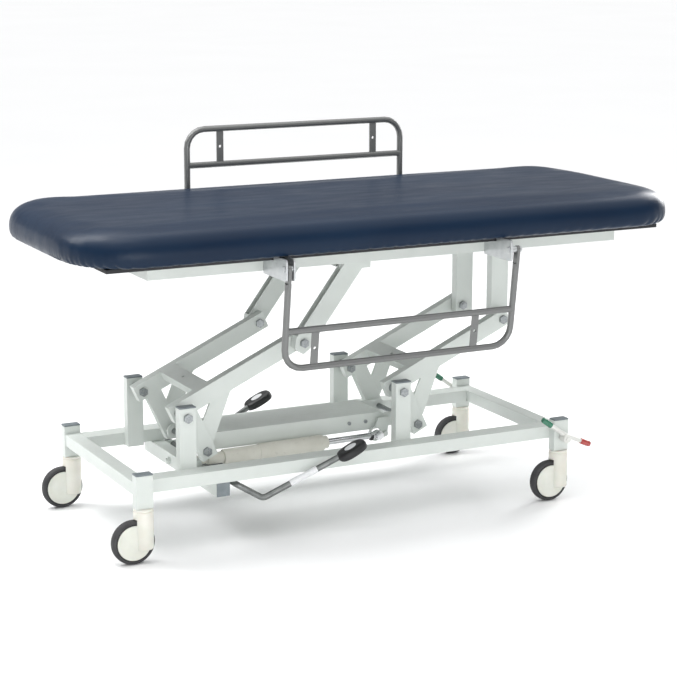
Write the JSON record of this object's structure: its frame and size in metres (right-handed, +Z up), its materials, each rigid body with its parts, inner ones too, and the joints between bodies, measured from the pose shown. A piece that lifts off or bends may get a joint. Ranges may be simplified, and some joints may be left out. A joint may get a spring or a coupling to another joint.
{
  "type": "exam table",
  "caption": "Height-adjustable treatment table with a padded top on a bell-crank lift, hydraulic foot-pedal ram, fold-down tube side rails and braked castors.",
  "frame": {"origin": "on the floor, below the centre of the overall box, which is also the centre of the mattress", "axes": "+X along the table from the lower pivot end of the lift arms towards their raised end, +Y across it towards the raised side rail, +Z up"},
  "size_m": [1.932, 0.85, 1.1095],
  "materials": {
    "frame_paint": "satin",
    "cap_plastic": "satin",
    "bolt_zinc": "satin",
    "pump_metal": "satin",
    "lever_steel": "satin",
    "pad_black": "satin",
    "ram_cream": "satin",
    "rod_chrome": "polished",
    "board_dark": "matte",
    "vinyl_navy": "satin",
    "rail_steel": "satin",
    "bracket_steel": "satin",
    "castor_shell": "satin",
    "tyre_grey": "matte",
    "pedal_steel": "satin"
  },
  "bodies": {
    "base": {"base_side_front": "frame_paint", "base_side_rear": "frame_paint", "base_end_left": "frame_paint", "base_end_right": "frame_paint", "post_cap_front_left": "cap_plastic", "tower_cap_front_left": "cap_plastic", "base_pivot_front_left": "bolt_zinc", "post_cap_front_right": "cap_plastic", "tower_cap_front_right": "cap_plastic", "base_pivot_front_right": "bolt_zinc", "post_cap_rear_left": "cap_plastic", "tower_cap_rear_left": "cap_plastic", "base_pivot_rear_left": "bolt_zinc", "post_cap_rear_right": "cap_plastic", "tower_cap_rear_right": "cap_plastic", "base_pivot_rear_right": "bolt_zinc", "pump_tube": "frame_paint", "pump_tube_end_front": "cap_plastic", "pump_tube_end_rear": "cap_plastic", "pump_body": "pump_metal"},
    "arm_left": {"arm_left_frame": "frame_paint"},
    "arm_right": {"arm_right_frame": "frame_paint"},
    "beam": {"coupling_beam": "frame_paint", "lever_shaft_left": "bolt_zinc", "lever_shaft_right": "bolt_zinc"},
    "top": {"top_frame": "frame_paint", "left_link_frame": "frame_paint", "drop_leg_frame": "frame_paint", "mattress_board": "board_dark", "mattress": "vinyl_navy", "upper_pivot_front_left": "bolt_zinc", "upper_pivot_front_right": "bolt_zinc", "upper_pivot_rear_left": "bolt_zinc", "upper_pivot_rear_right": "bolt_zinc", "rail_bracket_front_left": "bracket_steel", "rail_bracket_front_right": "bracket_steel", "rail_bracket_rear_left": "bracket_steel", "rail_bracket_rear_right": "bracket_steel"},
    "rail_front": {"side_rail_front": "rail_steel"},
    "rail_rear": {"side_rail_rear": "rail_steel"},
    "ram_cylinder": {"ram_end_fitting": "ram_cream", "ram_barrel": "ram_cream"},
    "ram_piston": {"ram_rod": "rod_chrome"},
    "foot_levers": {"foot_lever": "lever_steel", "foot_pad_front": "pad_black", "foot_pad_rear": "pad_black"},
    "brake": {"brake_pedals": "pedal_steel"},
    "castor_front_left": {"castor_hood_front_left": "castor_shell"},
    "wheel_front_left": {"castor_wheel_front_left": "castor_shell", "castor_tyre_front_left": "tyre_grey"},
    "castor_front_right": {"castor_hood_front_right": "castor_shell"},
    "wheel_front_right": {"castor_wheel_front_right": "castor_shell", "castor_tyre_front_right": "tyre_grey"},
    "castor_rear_left": {"castor_hood_rear_left": "castor_shell"},
    "wheel_rear_left": {"castor_wheel_rear_left": "castor_shell", "castor_tyre_rear_left": "tyre_grey"},
    "castor_rear_right": {"castor_hood_rear_right": "castor_shell"},
    "wheel_rear_right": {"castor_wheel_rear_right": "castor_shell", "castor_tyre_rear_right": "tyre_grey"}
  },
  "joints": [
    {"name": "lift", "type": "hinge", "parent": "base", "child": "arm_left", "pos_m": [-0.604, 0, 0.3726], "axis": [0, -1, 0], "range_deg": [-57, 8]},
    {"name": "arm_right_turn", "type": "hinge", "parent": "base", "child": "arm_right", "pos_m": [0.082, 0, 0.3726], "axis": [0, -1, 0], "range_deg": [-57.5, 8.5]},
    {"name": "top_level", "type": "hinge", "parent": "arm_left", "child": "top", "pos_m": [-0.22652, 0, 0.54383], "axis": [0, -1, 0], "range_deg": [-8.5, 57.5]},
    {"name": "beam_level", "type": "hinge", "parent": "arm_left", "child": "beam", "pos_m": [-0.5184, 0, 0.2494], "axis": [0, -1, 0], "range_deg": [-8.5, 57.5]},
    {"name": "ram_swing", "type": "hinge", "parent": "base", "child": "ram_cylinder", "pos_m": [-0.532, -0.092, 0.208], "axis": [0, -1, 0], "range_deg": [-3.5, 1]},
    {"name": "ram_stroke", "type": "slide", "parent": "ram_cylinder", "child": "ram_piston", "axis": [0.9999, 0, 0.01], "range_m": [-0.142, 0.022]},
    {"name": "rail_front_fold", "type": "hinge", "parent": "top", "child": "rail_front", "pos_m": [0, -0.412, 0.81], "axis": [-1, 0, 0], "range_deg": [0, 187]},
    {"name": "rail_rear_fold", "type": "hinge", "parent": "top", "child": "rail_rear", "pos_m": [0, 0.412, 0.81], "axis": [-1, 0, 0], "range_deg": [0, 187]},
    {"name": "foot_press", "type": "hinge", "parent": "base", "child": "foot_levers", "pos_m": [-0.48, 0, 0.178], "axis": [0, 1, 0], "range_deg": [0, 20], "stiffness_Nm_per_rad": 20, "springref_deg": -20.05},
    {"name": "brake_rock", "type": "hinge", "parent": "base", "child": "brake", "pos_m": [0.579, 0, 0.2], "axis": [0, -1, 0], "range_deg": [0, 60]},
    {"name": "castor_front_left_swivel", "type": "hinge", "parent": "base", "child": "castor_front_left", "pos_m": [-0.771, -0.294, 0.1], "axis": [0, 0, 1], "continuous": true},
    {"name": "wheel_front_left_spin", "type": "hinge", "parent": "castor_front_left", "child": "wheel_front_left", "pos_m": [-0.803, -0.294, 0.0625], "axis": [0, 1, 0], "continuous": true},
    {"name": "castor_front_right_swivel", "type": "hinge", "parent": "base", "child": "castor_front_right", "pos_m": [0.579, -0.294, 0.1], "axis": [0, 0, 1], "continuous": true},
    {"name": "wheel_front_right_spin", "type": "hinge", "parent": "castor_front_right", "child": "wheel_front_right", "pos_m": [0.547, -0.294, 0.0625], "axis": [0, 1, 0], "continuous": true},
    {"name": "castor_rear_left_swivel", "type": "hinge", "parent": "base", "child": "castor_rear_left", "pos_m": [-0.771, 0.294, 0.1], "axis": [0, 0, 1], "continuous": true},
    {"name": "wheel_rear_left_spin", "type": "hinge", "parent": "castor_rear_left", "child": "wheel_rear_left", "pos_m": [-0.803, 0.294, 0.0625], "axis": [0, 1, 0], "continuous": true},
    {"name": "castor_rear_right_swivel", "type": "hinge", "parent": "base", "child": "castor_rear_right", "pos_m": [0.579, 0.294, 0.1], "axis": [0, 0, 1], "continuous": true},
    {"name": "wheel_rear_right_spin", "type": "hinge", "parent": "castor_rear_right", "child": "wheel_rear_right", "pos_m": [0.547, 0.294, 0.0625], "axis": [0, 1, 0], "continuous": true}
  ],
  "couplings": [
    {"joint": "arm_right_turn", "follows": "lift", "ratio": 1},
    {"joint": "top_level", "follows": "lift", "ratio": -1},
    {"joint": "beam_level", "follows": "lift", "ratio": -1},
    {"joint": "ram_swing", "follows": "lift", "ratio": 0.055},
    {"joint": "ram_stroke", "follows": "lift", "m_per_rad": 0.14}
  ]
}
